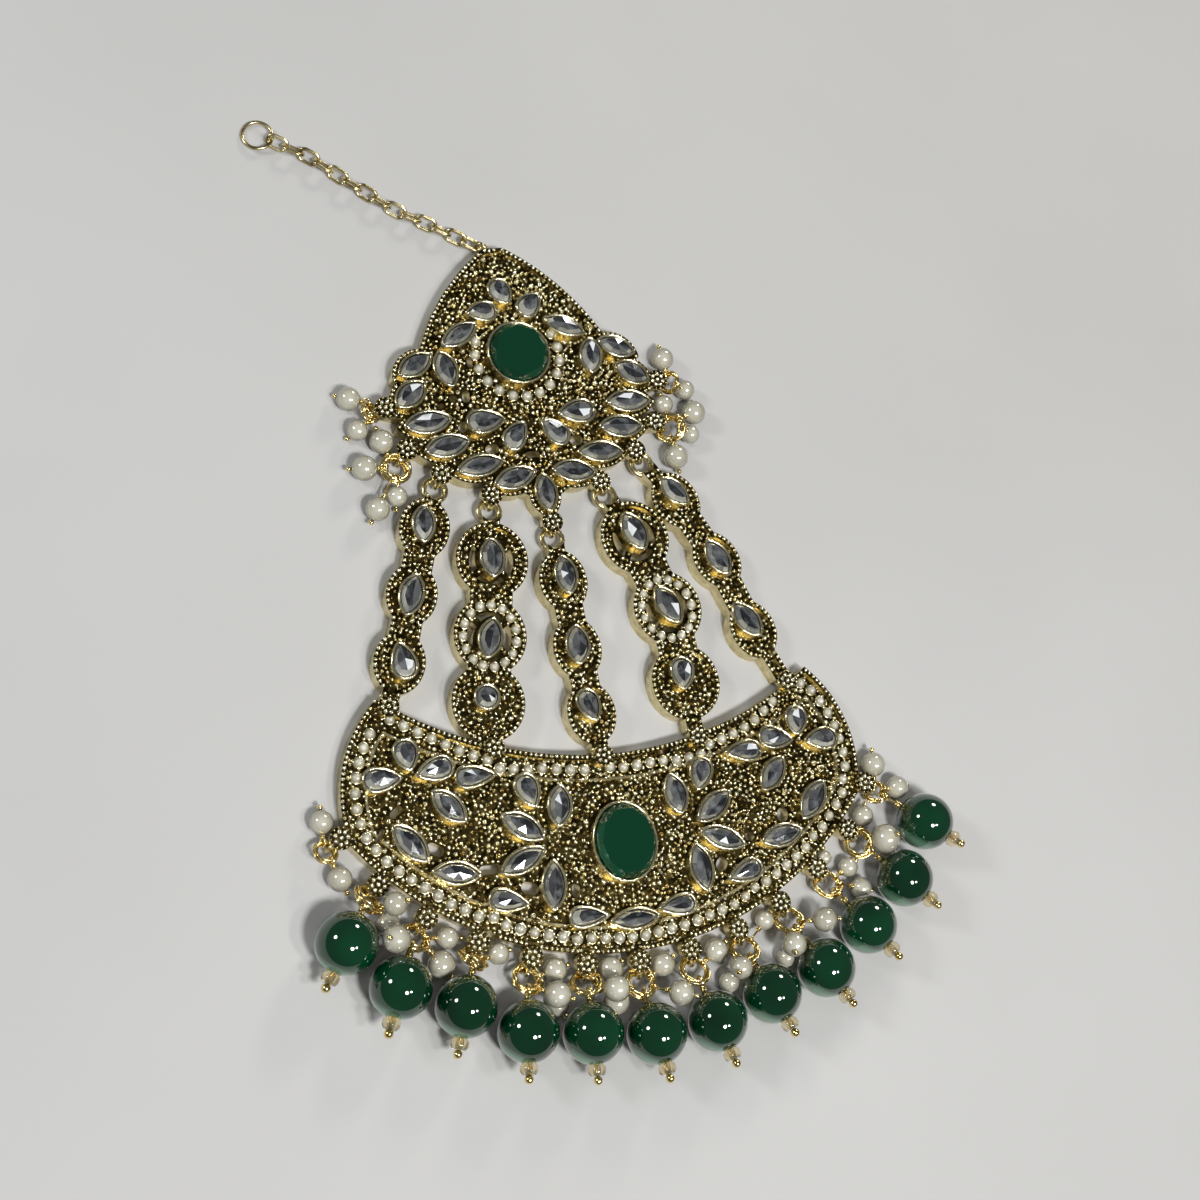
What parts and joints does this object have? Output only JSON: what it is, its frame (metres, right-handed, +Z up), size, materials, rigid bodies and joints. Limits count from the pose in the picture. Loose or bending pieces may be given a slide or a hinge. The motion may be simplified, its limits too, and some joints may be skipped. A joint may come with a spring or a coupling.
{
  "type": "passa jhoomar headpiece",
  "caption": "Side head ornament: a pointed plate and a crescent plate joined by cast strands, with bead and pearl drops and a chain with a ring.",
  "frame": {"origin": "centre of the outline, on the surface that the jewel lies on", "axes": "+Y towards the pointed plate and the chain, +X to the right seen from the front, +Z up out of the front"},
  "size_m": [0.0932, 0.1356, 0.008],
  "materials": {
    "antique_gold": "cast brass with dark antique gold plating, bright where rubbed",
    "bright_gold": "bright gold-plated wire",
    "clear_stone": "clear faceted glass on dark foil",
    "green_stone": "dark emerald green faceted glass",
    "green_bead": "polished translucent emerald green bead",
    "pearl": "cream pearl with a soft sheen"
  },
  "bodies": {
    "root": {"top_plate": "antique_gold", "top_stone": "green_stone", "top_kundan": "clear_stone", "crescent_plate": "antique_gold", "crescent_stone": "green_stone", "crescent_kundan": "clear_stone", "strand_1": "antique_gold", "strand_2": "antique_gold", "strand_3": "antique_gold", "strand_4": "antique_gold", "strand_5": "antique_gold", "strand_stones_1": "clear_stone", "strand_stones_2": "clear_stone", "strand_stones_3": "clear_stone", "strand_stones_4": "clear_stone", "strand_stones_5": "clear_stone", "green_bead_1": "green_bead", "green_bead_2": "green_bead", "green_bead_3": "green_bead", "green_bead_4": "green_bead", "green_bead_5": "green_bead", "green_bead_6": "green_bead", "green_bead_7": "green_bead", "green_bead_8": "green_bead", "green_bead_9": "green_bead", "green_bead_10": "green_bead", "green_bead_11": "green_bead", "green_bead_12": "green_bead", "bead_pins": "bright_gold", "jump_rings": "bright_gold", "drop_pearls": "pearl", "drop_pearl_pins": "bright_gold", "side_rings": "bright_gold", "side_pearls": "pearl", "side_pearl_pins": "bright_gold", "chain": "antique_gold", "end_ring": "antique_gold"}
  },
  "joints": []
}
